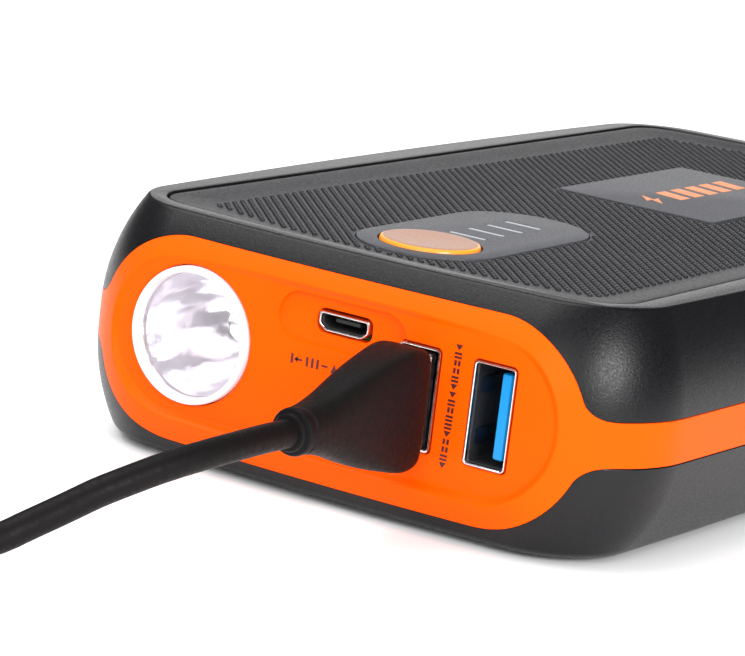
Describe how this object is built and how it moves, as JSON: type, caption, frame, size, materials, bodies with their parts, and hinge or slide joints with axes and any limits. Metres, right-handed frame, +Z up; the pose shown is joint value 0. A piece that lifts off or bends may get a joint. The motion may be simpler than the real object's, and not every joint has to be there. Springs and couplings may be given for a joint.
{
  "type": "jump starter pack",
  "caption": "Hand-sized jump starter pack with a lamp, charging inlet and outlets, rear jump lead socket, power button and a plugged-in charging cable.",
  "frame": {"origin": "bottom centre of the pack, on the surface its feet stand on, the cable left out", "axes": "+X to the right, -Y out of the front face with the lamp and outlets, +Z up through the button"},
  "size_m": [0.1051, 0.2494, 0.0326],
  "materials": {
    "shell_plastic": "fine-grained moulded",
    "orange_plastic": "satin",
    "panel_plastic": "raised dots",
    "plate_plastic": "satin",
    "light_bar": "translucent",
    "button_plastic": "satin",
    "switch_plastic": "moulded",
    "circuit_board": "solder mask",
    "clear_lens": "clear",
    "mirror_reflector": "metallised",
    "lamp_emitter": "clear",
    "port_steel": "bright",
    "blue_tongue": "moulded",
    "black_insert": "moulded",
    "cell_foil": "foil",
    "foam": "closed cell",
    "nickel": "plated",
    "brass_contact": "gold-plated brass",
    "red_lead": "silicone",
    "black_lead": "silicone",
    "cover_rubber": "matte",
    "screw_steel": "zinc-plated",
    "foot_rubber": "matte",
    "plug_core": "moulded",
    "cord_rubber": "matte",
    "tie_strap": "woven"
  },
  "bodies": {
    "housing": {"upper_shell": "shell_plastic", "mid_frame": "orange_plastic", "lower_shell": "shell_plastic", "top_panel": "panel_plastic", "button_plate": "plate_plastic", "charge_bars": "light_bar", "tact_switch": "switch_plastic", "button_board": "circuit_board", "charge_leds": "light_bar", "lamp_lens": "clear_lens", "lamp_reflector": "mirror_reflector", "lamp_led": "lamp_emitter", "lamp_board": "circuit_board", "outlet_jack_left": "port_steel", "outlet_tongue_left": "blue_tongue", "outlet_jack_right": "port_steel", "outlet_tongue_right": "blue_tongue", "inlet_jack": "port_steel", "inlet_tongue": "black_insert", "inlet_board": "circuit_board", "main_board": "circuit_board", "battery_cell_1": "cell_foil", "battery_cell_2": "cell_foil", "battery_cell_3": "cell_foil", "cell_foam": "foam", "cell_tabs": "nickel", "jump_socket": "black_insert", "jump_contacts": "brass_contact", "positive_lead": "red_lead", "negative_lead": "black_lead", "case_screws": "screw_steel", "board_screws": "screw_steel", "rubber_feet": "foot_rubber"},
    "cable": {"plug_shell": "port_steel", "plug_insert": "plug_core", "plug_grip": "cord_rubber", "cord_collar": "cord_rubber", "charge_cord": "cord_rubber", "cord_coil": "cord_rubber", "cord_tail": "cord_rubber", "cord_tie": "tie_strap", "far_plug_grip": "cord_rubber", "far_plug_tip": "port_steel"},
    "button": {"power_button": "button_plastic"},
    "cover": {"port_cover": "cover_rubber"}
  },
  "joints": [
    {"name": "button_press", "type": "slide", "parent": "housing", "child": "button", "axis": [0, 0, -1], "range_m": [0, 0.0007], "stiffness_N_per_m": 900, "springref_m": -0.0003},
    {"name": "cover_hinge", "type": "hinge", "parent": "housing", "child": "cover", "pos_m": [0, 0.0782, 0.0082], "axis": [-1, 0, 0], "range_deg": [0, 110]},
    {"name": "plug_pull", "type": "slide", "parent": "housing", "child": "cable", "axis": [0, -1, 0], "range_m": [0, 0.016]}
  ]
}
